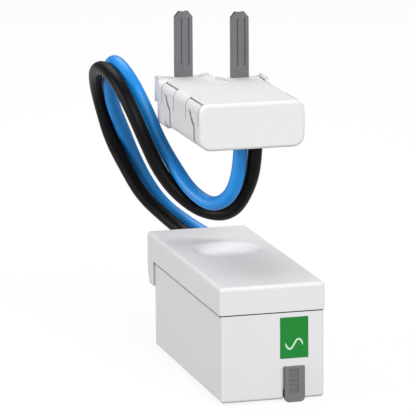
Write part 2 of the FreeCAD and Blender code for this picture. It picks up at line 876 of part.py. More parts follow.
def tongue_slots(index):
    low = plug_top - snap_height
    around = tongue_outline(index, 0, 0, low)
    tongue = tongue_outline(index, snap_side_gap, snap_top_gap, low - wall)
    return around.cut(tongue)


def barb_outline(index, gap):
    run, height = snap_barb[1] + gap, snap_barb[0] + gap
    y = snap_y(index) + snap_barb_shift
    z = plug_top - snap_height / 2
    return box(
        plug_left + plug_wall - height, plug_left + plug_wall + snap_arm, y - run, y + run,
        z - run / 2, z + run / 2,
    )


def bar_in_side(start, end):
    along = V(0, end[0] - start[0], end[1] - start[1]).normalize()
    across = V(0, along.z, -along.y) * (slit_width / 2)
    corners = [
        (start[0] - across.y, start[1] - across.z), (end[0] - across.y, end[1] - across.z),
        (end[0] + across.y, end[1] + across.z), (start[0] + across.y, start[1] + across.z),
    ]
    return prism_along_x(corners, plug_left - wall, plug_left + slit_depth)


def snap_slit(index):
    points = [(snap_y(index) + along, plug_top - down) for along, down in slit_bends]
    points.append((points[-1][0], plug_bottom - wall))
    return joined([bar_in_side(start, end) for start, end in zip(points, points[1:])])


def plug_cavity():
    inner_left = plug_left + plug_wall
    inner_right = plug_right - plug_wall
    front = plug_front + plug_wall
    room = box(inner_left, inner_right, front, floor_y, plug_bottom - wall, plug_roof)
    rear_room = box(
        inner_left, bay_edge - plug_wall, floor_y, plug_back - plug_wall, plug_bottom + plug_wall, plug_roof,
    )
    return room.fuse(rear_room)


def both_sides(shape):
    return [shape, mirrored(shape, plug_offset)]


def connector_cover():
    shell = joined([plug_outer(), rear_rail(0), rear_rail(1)]).cut(plug_cavity())
    cutters = [pin_channel(0), pin_channel(1)]
    for index in range(len(snap_from_front)):
        cutters += both_sides(tongue_slots(index))
        cutters += both_sides(snap_slit(index))
        cutters += both_sides(barb_outline(index, fit_gap * 2))
    for cutter in cutters:
        shell = shell.cut(cutter)
    return shell


def lead_entry():
    radius = lead_diameter / 2 + lead_entry_gap
    low = plug_bottom - wall
    high = plate_top + wall
    between = box(entry_blue[0], entry_black[0], entry_blue[1] - radius, entry_blue[1] + radius, low, high)
    entries = [rod(entry[0], entry[1], low, high, radius) for entry in (entry_black, entry_blue)]
    return joined(entries + [between])


def connector_base():
    gap = fit_gap * 2
    inner_left = plug_left + plug_wall + gap
    front = plug_front + plug_wall + gap
    plate = box(inner_left, plug_right - plug_wall - gap, front, floor_y - gap, plug_bottom, plate_top)
    pieces = [plate.common(plug_outer())]
    for index in range(len(snap_from_front)):
        middle = snap_y(index)
        half = snap_width / 2 - 2 * plug_wall
        arm = box(
            inner_left, inner_left + snap_arm, max(middle - half, front), min(middle + half, floor_y - gap),
            plate_top - fit_gap, plug_roof - snap_top_gap,
        )
        pieces += both_sides(arm.fuse(barb_outline(index, 0)))
    return joined(pieces).cut(lead_entry())


def carrier_limits():
    gap = fit_gap * 4
    left = plug_left + plug_wall + snap_arm + gap
    return left, 2 * plug_offset - left, plug_front + carrier_from_front[0], plug_front + carrier_from_front[1]


def pin_carrier():
    left, right, y0, y1 = carrier_limits()
    block = box(left, right, y0, y1, plate_top, shank_bottom)
    ribs = []
    for x, sign in zip(pin_x, (1, -1)):
        inner = x + sign * (pin_width / 2 + 2 * pin_slot_gap)
        x0, x1 = sorted((inner, inner + sign * carrier_rib))
        ribs.append(box(x0, x1, y0, y1, shank_bottom - fit_gap, shank_top - 2 * fit_gap))
    pocket = box(
        left + plug_wall, right - plug_wall, y0 + plug_wall, y1 - plug_wall,
        plate_top - wall, shank_bottom - plug_wall,
    )
    return joined([block] + ribs).cut(pocket)


def blade(index):
    x = pin_x[index]
    y = pin_y[index]
    half = pin_width / 2
    tip = pin_tip_width / 2
    top = plug_top + pin_length
    outline = [
        (x - half, shank_top - bend_radius), (x - half, top - pin_shoulder), (x - tip, top), (x, top - pin_tip_dip),
        (x + tip, top), (x + half, top - pin_shoulder), (x + half, shank_top - bend_radius),
    ]
    plate = prism_along_y(outline, y, y + pin_thickness)
    for side in (-1, 1):
        groove_x = x + groove_shift + side * groove_spacing / 2
        low = V(groove_x, y, plug_top + groove_low)
        high = V(groove_x, y, plug_top + groove_high)
        channel = box(
            groove_x - groove_width / 2, groove_x + groove_width / 2, y - wall, y + groove_depth, low.z, high.z,
        )
        plate = plate.cut(channel)
        rib = box(
            groove_x - groove_width / 2, groove_x + groove_width / 2,
            y + pin_thickness - fit_gap, y + pin_thickness + groove_depth / 2, low.z, high.z,
        )
        plate = plate.fuse(rib)
    return plate


def bend_piece(index):
    x = pin_x[index]
    back = pin_y[index] + pin_thickness
    corner = box(
        x - pin_width / 2, x + pin_width / 2, pin_y[index] - bend_radius, back, shank_bottom, shank_top,
    )
    outer_edge = [
        edge for edge in corner.Edges
        if runs_along(edge, V(1, 0, 0))
        and edge.BoundBox.YMin > back - 0.01 and edge.BoundBox.ZMax < shank_bottom + 0.01
    ]
    return corner.makeFillet(bend_radius, outer_edge)


def pin_left():
    x = pin_x[0]
    half = pin_width / 2
    arm_half = barrel_diameter / 2 + fit_gap
    run = box(x - half, x + half, entry_blue[1] - arm_half, pin_y[0], shank_bottom, shank_top)
    arm = box(
        x, entry_blue[0] + arm_half, entry_blue[1] - arm_half, entry_blue[1] + arm_half, shank_bottom, shank_top,
    )
    return joined([blade(0), bend_piece(0), run, arm])


def pin_right():
    x = pin_x[1]
    half = pin_width / 2
    arm_half = barrel_diameter / 2 + fit_gap
    run = box(x - half, x + half, entry_black[1] - arm_half, pin_y[1], shank_bottom, shank_top)
    return joined([blade(1), bend_piece(1), run])


def crimp_barrels():
    barrels = []
    for entry in (entry_black, entry_blue):
        low = entry[2]
        high = shank_bottom
        outer = barrel_diameter / 2
        waist = outer - barrel_waist
        third = (high - low) / 3
        profile = face_of([
            (0, 0, low), (outer, 0, low), (waist, 0, low + third), (waist, 0, high - third),
            (outer, 0, high), (0, 0, high),
        ])
        barrel = profile.revolve(V(0, 0, 0), V(0, 0, 1), 360)
        barrel.translate(V(entry[0], entry[1], 0))
        bore = rod(entry[0], entry[1], low - wall, low + core_reach + fit_gap, barrel_bore / 2)
        barrels.append(barrel.cut(bore))
    return Part.makeCompound(barrels)


export(body_tub(), "body_tub")
export(top_cover(), "top_cover")
export(lock_latch(), "lock_latch")
export(latch_spring(), "latch_spring")
export(status_window(), "status_window")
export(status_led(), "status_led")
export(main_board(), "main_board")
export(terminal_board(), "terminal_board")
export(ct_core(), "ct_core")
export(ct_winding(), "ct_winding")
export(dropper_capacitor(), "dropper_capacitor")
export(buffer_capacitors(), "buffer_capacitors")
export(fuse_resistor(), "fuse_resistor")
export(varistor(), "varistor")
export(meter_chip(), "meter_chip")
export(radio_shield(), "radio_shield")
export(radio_antenna(), "radio_antenna")
export(link_wires(), "link_wires")
export(lead_bushing(), "lead_bushing")
export(inner_leads(), "inner_leads")
export(lead("lead_black", lead_points(0, lead_middle_black, entry_black)), "lead_black")
export(lead("lead_blue", lead_points(1, lead_middle_blue, entry_blue)), "lead_blue")
export(connector_cover(), "connector_cover")
export(connector_base(), "connector_base")
export(pin_carrier(), "pin_carrier")
export(pin_left(), "pin_left")
export(pin_right(), "pin_right")
export(crimp_barrels(), "crimp_barrels")
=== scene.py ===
# Wireless energy sensor with its plug head on two leads: finishes and soft pieces around the
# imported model. Metres, in the model's own frame: +X right, +Y to the rear skirt, +Z up.

import math

import bmesh
import bpy
from mathutils import Matrix, Vector


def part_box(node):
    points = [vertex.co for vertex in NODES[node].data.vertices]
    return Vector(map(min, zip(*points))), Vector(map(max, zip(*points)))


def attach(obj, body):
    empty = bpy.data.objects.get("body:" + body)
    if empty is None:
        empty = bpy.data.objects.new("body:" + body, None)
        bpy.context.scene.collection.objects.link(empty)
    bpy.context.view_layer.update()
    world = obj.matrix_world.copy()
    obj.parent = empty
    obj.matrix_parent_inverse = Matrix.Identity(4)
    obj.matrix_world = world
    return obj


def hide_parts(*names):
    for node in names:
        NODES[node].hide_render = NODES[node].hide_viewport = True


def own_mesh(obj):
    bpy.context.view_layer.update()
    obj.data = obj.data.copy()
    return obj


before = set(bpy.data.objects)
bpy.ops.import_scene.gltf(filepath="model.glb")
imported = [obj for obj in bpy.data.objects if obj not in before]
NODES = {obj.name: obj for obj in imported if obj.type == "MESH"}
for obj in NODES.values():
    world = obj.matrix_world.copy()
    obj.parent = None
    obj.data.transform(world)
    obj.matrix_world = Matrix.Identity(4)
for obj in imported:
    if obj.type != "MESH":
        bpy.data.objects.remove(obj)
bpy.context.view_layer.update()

bl_info = {
    "name": "Energy sensor",
    "version": (1, 0, 0),
    "blender": (4, 5, 0),
    "location": "3D View > Sidebar > Sensor",
    "description": "Dresses a wireless energy sensor, its leads and its plug head",
    "category": "Object",
}

# Control points of the two leads, from the strain relief to the plug head
BLACK_ROUTE = (
    (0.0003, 0.0241, 0.0169), (0.0003, 0.0281, 0.0169), (-0.00331, 0.03305, 0.02015),
    (-0.00648, 0.03613, 0.02345), (-0.00861, 0.0388, 0.02801), (-0.0107, 0.04122, 0.03287),
    (-0.01209, 0.04192, 0.03826), (-0.01371, 0.03963, 0.04312), (-0.01505, 0.03463, 0.04683),
    (-0.01475, 0.02861, 0.04811), (-0.01371, 0.02337, 0.0461), (-0.01222, 0.01999, 0.04186),
    (-0.0103, 0.01866, 0.03676), (-0.00806, 0.01847, 0.0316), (-0.00496, 0.01784, 0.02721),
    (-0.00096, 0.01529, 0.02412), (0.00279, 0.01128, 0.02433), (0.00459, 0.00745, 0.02862),
    (0.0054, 0.0045, 0.0346), (0.0054, 0.0045, 0.0409),
)
BLUE_ROUTE = (
    (0.0039, 0.0241, 0.0169), (0.0039, 0.0281, 0.0169), (0.0013, 0.03309, 0.01838),
    (-0.00225, 0.03716, 0.0212), (-0.00479, 0.03969, 0.0253), (-0.00684, 0.04086, 0.03002),
    (-0.00876, 0.04037, 0.03482), (-0.01079, 0.03921, 0.03923), (-0.01187, 0.03724, 0.04366),
    (-0.01254, 0.03392, 0.04784), (-0.01252, 0.02901, 0.04899), (-0.01121, 0.02429, 0.04646),
    (-0.00928, 0.02146, 0.04151), (-0.00745, 0.02016, 0.03639), (-0.00526, 0.01828, 0.03193),
    (-0.00306, 0.0149, 0.02785), (-0.00049, 0.01023, 0.02613), (0.00179, 0.00594, 0.02893),
    (0.0028, 0.0045, 0.0350), (0.0028, 0.0045, 0.0409),
)

# A lead's tube: steps between control points, the bevel's resolution, which gives its section
# 16 sides, and how much it is let out because those sides lie inside the round tube
LEAD_STEPS = 10
LEAD_BEVEL = 6
SHEATH_FACETS = 1.025

# The seam between tub and cover: its height, half its gap, the tub's rear and side faces, and the
# line of painted shade under the cover's side edges, with its low and high end below the seam and
# its strength
SEAM_Z = 0.0151
SEAM_HALF = 0.00009
TUB_REAR_Y = 0.0188
TUB_SIDE_X = 0.00865
SIDE_SEAM = (0.00032, 0.00006)
SIDE_SEAM_SHADE = 0.80

# The plug head's outline: low and high corner, the rounds of its top, foot and heel, and where
# the heel begins
PLUG_LOW = (-0.0077, -0.0075, 0.0392)
PLUG_HIGH = (0.0105, 0.0198, 0.04705)
PLUG_ROUNDS = (0.0015, 0.0020, 0.0009)
HEEL_Y = 0.0152

# Its snap tongues, two on each side: middles in y, how far their slots reach along and into the
# shell, the soft line of painted shade beside each, their height, how far they lap over the roof,
# and the painted shade of the slots in the side and in the roof
TONGUE_Y = (-0.0025, 0.0130)
TONGUE_REACH = 0.0042
SLOT_DEPTHS = (0.00006, 0.00103)
TONGUE_EDGE = 0.00387
TONGUE_DROP = 0.00375
TONGUE_ROOF = 0.00108
SLOT_SHADE = (0.60, 0.26)
EDGE_SOFT = 0.00030
EDGE_SHADE = 0.60

# The shaded head of each kinked slit: its run along y, its depth below the top and half its
# height
HOOK_RUN = (0.0012, 0.0021)
HOOK_DROP = 0.0019
HOOK_HALF = 0.00016

# The rear rail above the roof: where its foot and its crests begin, the shade painted on it, and
# how much less of that shade its crests get
RAIL_FOOT = 0.00002
RAIL_CREST = 0.00016
RAIL_SHADE = 0.24
CREST_EASE = 0.10

# The latch's sunk panel: left and right edge, low and high end, the depth from which it counts as
# floor and not as ridge, and the painted shade on its floor and on the latch's sides
PANEL_X = (0.00255, 0.00416)
PANEL_Z = (0.00165, 0.00565)
PANEL_FLOOR = 0.00009
PANEL_SHADE = 0.22
LATCH_SIDE_SHADE = 0.6

# The latch's folded leaf spring: strip thickness, arms and steps round each bend
SPRING_STRIP = 0.00015
SPRING_ARMS = 4
SPRING_BEND_STEPS = 10

# The current transformer's winding: middle in x and y, inner radius, turns, steps in each turn,
# how square a turn is (1 is round, 0 is square), and the sides of the wire
COIL_MIDDLE = (0.0005, 0.0053)
COIL_INNER = 0.0051
COIL_TURNS = 150
COIL_STEPS = 12
COIL_SQUARENESS = 0.35
WIRE_SIDES = 6

# The printed wave on the window: middle in x and z, half its length, height, line and soft edge
WAVE_MIDDLE = (0.00362, 0.0097)
WAVE_HALF = 0.0015
WAVE_HEIGHT = 0.0008
WAVE_LINE = 0.0003
WAVE_EDGE = 0.00005
PRINT_COLOUR = (0.60, 0.80, 0.62, 1.0)

# Shared by the finishes: the middle of a noise, the scale of slow mottle, how dark the painted
# shade in a crevice gets, and the colour mix node's factor and colour inputs and its result
NOISE_MIDDLE = 0.5
MOTTLE_SCALE = 90.0
CREVICE_LEVEL = 0.12
MIX_INPUTS = (0, 6, 7)
MIX_RESULT = 2

# The stage: half the floor's width, what the floor throws back on the object and shows to the
# camera, how much white is laid over it, and the lights with their places, sizes and settings
FLOOR_REACH = 6.0
FLOOR_BOUNCE = (0.18, 0.18, 0.18, 1)
FLOOR_TONE = (0.95, 0.95, 0.95, 1)
FLOOR_WHITE = 0.9
WHITE = (1, 1, 1, 1)
LIGHT_AIM = (0, 0, 0.025)
LIGHTS = (
    ("front_soft", (0.12, -0.50, 0.30), 0.45, "front"),
    ("left_soft", (-0.60, 0.0, 0.18), 0.35, "side"),
    ("top_soft", (0.02, 0.26, 0.45), 0.35, "top"),
)
FILM_WIDTH = 36.0
VIEW_DEPTH = 20.0


class SensorColours(bpy.types.PropertyGroup):
    """Colours of the moulded, sheathed and plated pieces."""
    housing: bpy.props.FloatVectorProperty(
        name="Housing", description="Moulded white of the housing",
        subtype="COLOR", default=(0.75, 0.75, 0.76), min=0, max=1)
    plug_head: bpy.props.FloatVectorProperty(
        name="Plug head", description="Moulded white of the plug head",
        subtype="COLOR", default=(0.76, 0.76, 0.765), min=0, max=1)
    latch: bpy.props.FloatVectorProperty(
        name="Latch", description="Grey of the lock latch",
        subtype="COLOR", default=(0.165, 0.165, 0.165), min=0, max=1)
    window: bpy.props.FloatVectorProperty(
        name="Window", description="Green of the status window",
        subtype="COLOR", default=(0.002, 0.215, 0.022), min=0, max=1)
    black_lead: bpy.props.FloatVectorProperty(
        name="Black lead", description="Sheath of the black lead",
        subtype="COLOR", default=(0.0045, 0.004, 0.004), min=0, max=1)
    blue_lead: bpy.props.FloatVectorProperty(
        name="Blue lead", description="Sheath of the blue lead",
        subtype="COLOR", default=(0.003, 0.25, 0.71), min=0, max=1)
    pin: bpy.props.FloatVectorProperty(
        name="Pins", description="Plated metal of the pins",
        subtype="COLOR", default=(0.14, 0.14, 0.148), min=0, max=1)


class SensorSizes(bpy.types.PropertyGroup):
    """Sizes of the leads, the winding's wire and the moulded grain."""
    lead_diameter: bpy.props.FloatProperty(
        name="Lead diameter", description="Outer diameter of each lead",
        unit="LENGTH", default=0.0024)
    black_length: bpy.props.FloatProperty(
        name="Black lead length", description="Length from the strain relief to the crimp",
        unit="LENGTH", default=0.108)
    blue_length: bpy.props.FloatProperty(
        name="Blue lead length", description="Length from the strain relief to the crimp",
        unit="LENGTH", default=0.102)
    wire: bpy.props.FloatProperty(
        name="Winding wire", description="Diameter of the enamelled wire",
        unit="LENGTH", default=0.00019)
    grain: bpy.props.FloatProperty(
        name="Moulded grain", description="Size of the spark-eroded grain",
        unit="LENGTH", default=0.00011)


class StageSettings(bpy.types.PropertyGroup):
    """The camera's place and the strength of the lights."""
    azimuth: bpy.props.FloatProperty(
        name="Azimuth", description="Camera's turn about the vertical",
        unit="ROTATION", default=math.radians(-15.515))
    elevation: bpy.props.FloatProperty(
        name="Elevation", description="Camera's height angle",
        unit="ROTATION", default=math.radians(11.782))
    roll: bpy.props.FloatProperty(
        name="Roll", description="Camera's roll",
        unit="ROTATION", default=math.radians(-0.374))
    distance: bpy.props.FloatProperty(
        name="Distance", description="From the aimed point to the camera",
        unit="LENGTH", default=0.57605)
    aim: bpy.props.FloatVectorProperty(
        name="Aim", description="Point at the middle of the picture",
        subtype="TRANSLATION", default=(-0.008412, -0.014467, 0.031387))
    lens: bpy.props.FloatProperty(
        name="Lens", description="Focal length for a 36 mm wide sensor",
        unit="CAMERA", default=305.58)
    front: bpy.props.FloatProperty(
        name="Front light", description="Power of the front light",
        unit="POWER", default=3.55)
    side: bpy.props.FloatProperty(
        name="Side light", description="Power of the left light",
        unit="POWER", default=2.42)
    top: bpy.props.FloatProperty(
        name="Top light", description="Power of the light above and behind",
        unit="POWER", default=1.32)
    sky: bpy.props.FloatProperty(
        name="Sky", description="Strength of the surrounding light", default=0.23)


class Term:
    """A node's socket that takes part in Python expressions."""

    def __init__(self, net, socket):
        self.net = net
        self.socket = socket

    def maths(self, operation, other=0.0, swapped=False):
        first, second = (other, self) if swapped else (self, other)
        return self.net.node("ShaderNodeMath", {"operation": operation}, {0: first, 1: second})

    def __add__(self, other):
        return self.maths("ADD", other)

    def __sub__(self, other):
        return self.maths("SUBTRACT", other)

    def __rsub__(self, other):
        return self.maths("SUBTRACT", other, swapped=True)

    def __mul__(self, other):
        return self.maths("MULTIPLY", other)

    def __truediv__(self, other):
        return self.maths("DIVIDE", other)

    __radd__ = __add__
    __rmul__ = __mul__

    def at_least(self, value):
        return self.maths("MAXIMUM", value)

    def at_most(self, value):
        return self.maths("MINIMUM", value)

    def clamped(self):
        return self.at_least(0.0).at_most(1.0)

    def size(self):
        return self.maths("ABSOLUTE")

    def over(self, value):
        """One where the value is passed."""
        return self.maths("GREATER_THAN", value)

    def under(self, value):
        """One where the value isn't reached."""
        return self.maths("LESS_THAN", value)

    def near(self, middle, reach):
        """One within reach of the middle."""
        return 1.0 - (self - middle).size().over(reach)

    def between(self, low, high):
        return self.near((low + high) / 2, (high - low) / 2)

    def squared(self):
        return self * self

    def root(self):
        return self.maths("SQRT")


class Network:
    """A tree of nodes, built up term by term."""

    def __init__(self, tree):
        self.tree = tree

    def node(self, kind, settings=None, sockets=None, output=0):
        """Adds a node and gives one of its outputs, or a list where several are named."""
        node = self.tree.nodes.new(kind)
        for key, value in (settings or {}).items():
            setattr(node, key, value)
        for key, value in (sockets or {}).items():
            if isinstance(value, Term):
                self.tree.links.new(value.socket, node.inputs[key])
            else:
                node.inputs[key].default_value = value
        if isinstance(output, tuple):
            return [Term(self, node.outputs[name]) for name in output]
        return Term(self, node.outputs[output]) if node.outputs else None


class Finish(Network):
    """The nodes of a material or a world."""

    def __init__(self, owner):
        owner.use_nodes = True
        super().__init__(owner.node_tree)
        self.owner = owner
        self.tree.nodes.clear()

    def axes(self, vector):
        return self.node("ShaderNodeSeparateXYZ", sockets={0: vector}, output=("X", "Y", "Z"))

    def place(self, scale=(1, 1, 1)):
        """The surface's point in the model's frame, stretched if need be."""
        here = self.node("ShaderNodeTexCoord", output="Object")
        return self.node("ShaderNodeMapping", sockets={"Vector": here, "Scale": scale})

    def noise(self, vector, scale, detail=3.0):
        return self.node("ShaderNodeTexNoise", sockets={
            "Vector": vector, "Scale": scale, "Detail": detail,
        })

    def blend(self, factor, first, second):
        """Mixes two colours."""
        sockets = dict(zip(MIX_INPUTS, (factor, first, second)))
        return self.node("ShaderNodeMix", {"data_type": "RGBA"}, sockets, output=MIX_RESULT)

    def bump(self, height, distance):
        return self.node("ShaderNodeBump", sockets={"Height": height, "Distance": distance})

    def close(self, sockets):
        shader = self.node("ShaderNodeBsdfPrincipled", sockets=sockets)
        self.node("ShaderNodeOutputMaterial", sockets={"Surface": shader})
        return self.owner


def new_finish(name):
    return Finish(bpy.data.materials.new(name))


def rgba(colour, level=1.0):
    return tuple(min(1.0, channel * level) for channel in colour) + (1.0,)


def housing_crevice(finish, here):
    """Shade in the seam between the tub and its cover, and under the cover's side edges."""
    x, y, z = finish.axes(here)
    seam = z.near(SEAM_Z, SEAM_HALF) * (TUB_REAR_Y + 2 * SEAM_HALF - y).over(0.0)
    band = z.between(SEAM_Z - SIDE_SEAM[0], SEAM_Z - SIDE_SEAM[1]) * x.size().over(TUB_SIDE_X)
    return (seam + band * (TUB_REAR_Y - y).over(0.0) * SIDE_SEAM_SHADE).clamped()


def plug_crevice(finish, here):
    """Shade in the slots round the snap tongues, in the kinked slits and on the rear rail."""
    x, y, z = finish.axes(here)
    middle = [(low + high) / 2 for low, high in zip(PLUG_LOW, PLUG_HIGH)]
    half = [(high - low) / 2 for low, high in zip(PLUG_LOW, PLUG_HIGH)]
    top_z = PLUG_HIGH[2]

    # How deep a point lies under the rounded outline
    top_round, foot_round, heel_round = PLUG_ROUNDS
    upper = z.over(middle[2])
    foot = foot_round - y.over(HEEL_Y) * (foot_round - heel_round)
    radius = upper * top_round + (1.0 - upper) * foot
    across = (x - middle[0]).size() - half[0] + radius
    up = (z - middle[2]).size() - half[2] + radius
    corner = (across.at_least(0.0).squared() + up.at_least(0.0).squared()).root()
    depth = radius - corner - across.at_least(up).at_most(0.0)

    edge_band = ((x - middle[0]).size() - half[0] + TONGUE_ROOF).over(0.0)
    above_foot = (z - (top_z - TONGUE_DROP)).over(0.0)
    rise = z - top_z
    # Painted shade on the rear rail above the roof, less on its crests
    rail = rise.over(RAIL_FOOT) * RAIL_SHADE - rise.over(RAIL_CREST) * CREST_EASE
    off_right_roof = 1.0 - rise.over(-EDGE_SOFT) * (x - middle[0]).over(0.0)
    side_shade, roof_shade = SLOT_SHADE
    slot_shade = side_shade - rise.over(-TONGUE_ROOF) * (side_shade - roof_shade)
    # grey sums the shade painted into the base colour: in the slots, in the soft line beside each
    # tongue and at the head of each kinked slit
    grey = 0.0
    for tongue_y in TONGUE_Y:
        along = y - tongue_y
        slot = depth.between(*SLOT_DEPTHS) * along.near(0.0, TONGUE_REACH)
        line = (1.0 - (along.size() - TONGUE_EDGE).size() / EDGE_SOFT).clamped() * above_foot
        hook = along.between(*HOOK_RUN) * z.near(top_z - HOOK_DROP, HOOK_HALF)
        outside = across.over(foot_round / 2)
        grey = slot * slot_shade + line * edge_band * EDGE_SHADE + hook * outside * side_shade + grey
    return (grey * off_right_roof + rail).clamped()


def latch_crevice(finish, here):
    """Painted shade on the panel between its ridges and on the latch's sides."""
    x, y, z = finish.axes(here)
    low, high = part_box("lock_latch")
    panel = x.between(*PANEL_X) * z.between(*PANEL_Z) * (y - low[1] - PANEL_FLOOR).over(0.0)
    off_middle = (x - (low[0] + high[0]) / 2).size()
    sides = off_middle.over((high[0] - low[0]) / 2 - PANEL_FLOOR)
    return (panel * PANEL_SHADE + sides * LATCH_SIDE_SHADE).clamped()


def moulded_plastic(name, colour, grain, roughness=0.42, depth=0.000006, mottle=0.02, gloss=0.45,
                    crevice=None):
    """Plastic from a spark-eroded mould: fine grain, slow mottle and shaded crevices."""
    grain_sway, mottle_sway = 0.12, 0.08
    finish = new_finish(name)
    here = finish.place()
    flow = finish.noise(here, MOTTLE_SCALE, detail=2.0)
    fine = finish.noise(here, 1.0 / grain, detail=2.0)
    tone = finish.blend(flow, rgba(colour, 1 - mottle), rgba(colour, 1 + mottle))
    # Painted shade: the crevice mask darkens the base colour towards CREVICE_LEVEL of it
    if crevice:
        tone = finish.blend(crevice(finish, here), tone, rgba(colour, CREVICE_LEVEL))
    grained = roughness + (fine - NOISE_MIDDLE) * grain_sway
    return finish.close({
        "Base Color": tone,
        "Roughness": grained + (flow - NOISE_MIDDLE) * mottle_sway,
        "Normal": finish.bump(fine, depth),
        "Specular IOR Level": gloss,
    })


def sheathing(name, colour, gloss):
    """Extruded sheath with faint rubbed patches and a fine skin."""
    rub_scale, skin_scale, skin_depth = 220.0, 2600.0, 0.000012
    darker, lighter = 0.92, 1.10
    roughness, rub_sway, skin_sway = 0.40, 0.16, 0.08
    finish = new_finish(name)
    here = finish.place()
    rub = finish.noise(here, rub_scale)
    skin = finish.noise(here, skin_scale)
    rubbed = roughness + (rub - NOISE_MIDDLE) * rub_sway
    return finish.close({
        "Base Color": finish.blend(rub, rgba(colour, darker), rgba(colour, lighter)),
        "Roughness": rubbed + (skin - NOISE_MIDDLE) * skin_sway,
        "Normal": finish.bump(skin, skin_depth),
        "Specular IOR Level": gloss,
    })


def rolled_metal(name, colour, stretch=(1, 1, 0.06), roughness=0.42):
    """Metal with rolling lines that run where the stretch is small."""
    line_scale, line_depth, line_sway = 9000.0, 0.000004, 0.2
    cloud_scale, darker, lighter = 300.0, 0.9, 1.1
    finish = new_finish(name)
    lines = finish.noise(finish.place(stretch), line_scale)
    cloud = finish.noise(finish.place(), cloud_scale, detail=2.0)
    return finish.close({
        "Base Color": finish.blend(cloud, rgba(colour, darker), rgba(colour, lighter)),
        "Metallic": 1.0,
        "Roughness": roughness + (lines - NOISE_MIDDLE) * line_sway,
        "Normal": finish.bump(lines, line_depth),
    })


def laminate(name, colour):
    """Circuit board with a glass weave under its mask and raised tracks."""
    weave_scale, weave_bend, weave_sway = 900.0, 1.5, 0.06
    track_scale, track_gap, track_level, track_height = 420.0, 14.0, 1.7, 0.00003
    roughness = 0.34
    finish = new_finish(name)
    here = finish.place()
    weave = finish.node("ShaderNodeTexWave", {"wave_profile": "SIN"}, {
        "Vector": here, "Scale": weave_scale, "Distortion": weave_bend,
    })
    cells = finish.node("ShaderNodeTexVoronoi", {"feature": "DISTANCE_TO_EDGE"}, {
        "Vector": here, "Scale": track_scale,
    })
    track = (1.0 - cells * track_gap).clamped()
    return finish.close({
        "Base Color": finish.blend(track, rgba(colour), rgba(colour, track_level)),
        "Roughness": roughness + weave * weave_sway,
        "Normal": finish.bump(track, track_height),
    })


def window_finish(name, colour, grain):
    """Tinted plastic with a printed sine wave, the plain sign for alternating current."""
    darker, lighter, gloss, depth = 0.97, 1.03, 0.35, 0.000008
    roughness, grain_sway, print_sway, grain_share = 0.32, 0.08, 0.12, 0.2
    finish = new_finish(name)
    here = finish.place()
    x, y, z = finish.axes(here)
    fine = finish.noise(here, 1.0 / grain, detail=2.0)
    along = (x - WAVE_MIDDLE[0]) / WAVE_HALF
    phase = along * math.pi
    rise = (z - WAVE_MIDDLE[1] - phase.maths("SINE") * WAVE_HEIGHT).size()
    slope = phase.maths("COSINE") * (WAVE_HEIGHT * math.pi / WAVE_HALF)
    apart = rise / (slope.squared() + 1.0).root()
    line = 1.0 - ((apart - WAVE_LINE / 2) / WAVE_EDGE + 0.5).clamped()
    face = (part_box("status_window")[0][1] + WAVE_EDGE - y).over(0.0)
    printed = line * along.size().under(1.0) * face
    flow = finish.noise(here, MOTTLE_SCALE, detail=2.0)
    tint = finish.blend(flow, rgba(colour, darker), rgba(colour, lighter))
    return finish.close({
        "Base Color": finish.blend(printed, tint, PRINT_COLOUR),
        "Roughness": roughness + (fine - NOISE_MIDDLE) * grain_sway + printed * print_sway,
        "Normal": finish.bump(fine * grain_share + printed, depth),
        "Specular IOR Level": gloss,
    })


def dress(material, *nodes):
    """Gives CAD pieces a finish."""
    for node in nodes:
        mesh = NODES[node].data
        mesh.materials.clear()
        mesh.materials.append(material)


def placed(name, data):
    """A new object at the origin, in the scene."""
    piece = bpy.data.objects.new(name, data)
    bpy.context.scene.collection.objects.link(piece)
    return piece


class SENSOR_OT_housing(bpy.types.Operator):
    """Finish the moulded housing, its cover and the strain relief."""
    bl_idname = "sensor.housing"
    bl_label = "Housing"

    def execute(self, context):
        colours = context.scene.sensor_colours
        grain = context.scene.sensor_sizes.grain
        white = moulded_plastic("housing_white", colours.housing, grain, roughness=0.5,
                                gloss=0.3, crevice=housing_crevice)
        grey = moulded_plastic("bushing_grey", (0.55, 0.55, 0.55), grain, roughness=0.6)
        dress(white, "body_tub", "top_cover")
        dress(grey, "lead_bushing")
        return {"FINISHED"}


def leaf_path(low, high):
    """Middle line of the folded strip in y and z, and the direction across it at each point."""
    half_strip = SPRING_STRIP / 2
    pitch = (high[2] - low[2] - SPRING_STRIP) / (SPRING_ARMS - 1)
    near, far = low[1], high[1] - half_strip
    points = [(near, low[2] + half_strip, 0.0, 1.0)]
    for arm in range(SPRING_ARMS - 1):
        level = low[2] + half_strip + (arm + 0.5) * pitch
        side = 1 if arm % 2 == 0 else -1
        centre = far - pitch / 2 if side > 0 else near + half_strip + pitch / 2
        for step in range(SPRING_BEND_STEPS + 1):
            turn = math.pi * step / SPRING_BEND_STEPS
            out, down = math.sin(turn) * side, math.cos(turn)
            points.append((centre + out * pitch / 2, level - down * pitch / 2,
                           -out * side, down * side))
    last = near if SPRING_ARMS % 2 == 0 else far
    points.append((last, high[2] - half_strip, 0.0, 1.0 if SPRING_ARMS % 2 else -1.0))
    return points


def folded_leaf(name, low, high):
    """A spring strip folded to and fro, as one closed mesh."""
    shape = bmesh.new()
    rings = []
    corners = ((low[0], -1), (high[0], -1), (high[0], 1), (low[0], 1))
    for y, z, across_y, across_z in leaf_path(low, high):
        half_y, half_z = across_y * SPRING_STRIP / 2, across_z * SPRING_STRIP / 2
        rings.append([
            shape.verts.new((x, y + side * half_y, z + side * half_z)) for x, side in corners
        ])
    for ring, following in zip(rings, rings[1:]):
        for corner in range(len(corners)):
            after = (corner + 1) % len(corners)
            shape.faces.new((ring[corner], ring[after], following[after], following[corner]))
    shape.faces.new(rings[0][::-1])
    shape.faces.new(rings[-1])
    bmesh.ops.recalc_face_normals(shape, faces=shape.faces)
    mesh = bpy.data.meshes.new(name)
    shape.to_mesh(mesh)
    shape.free()
    return placed(name, mesh)


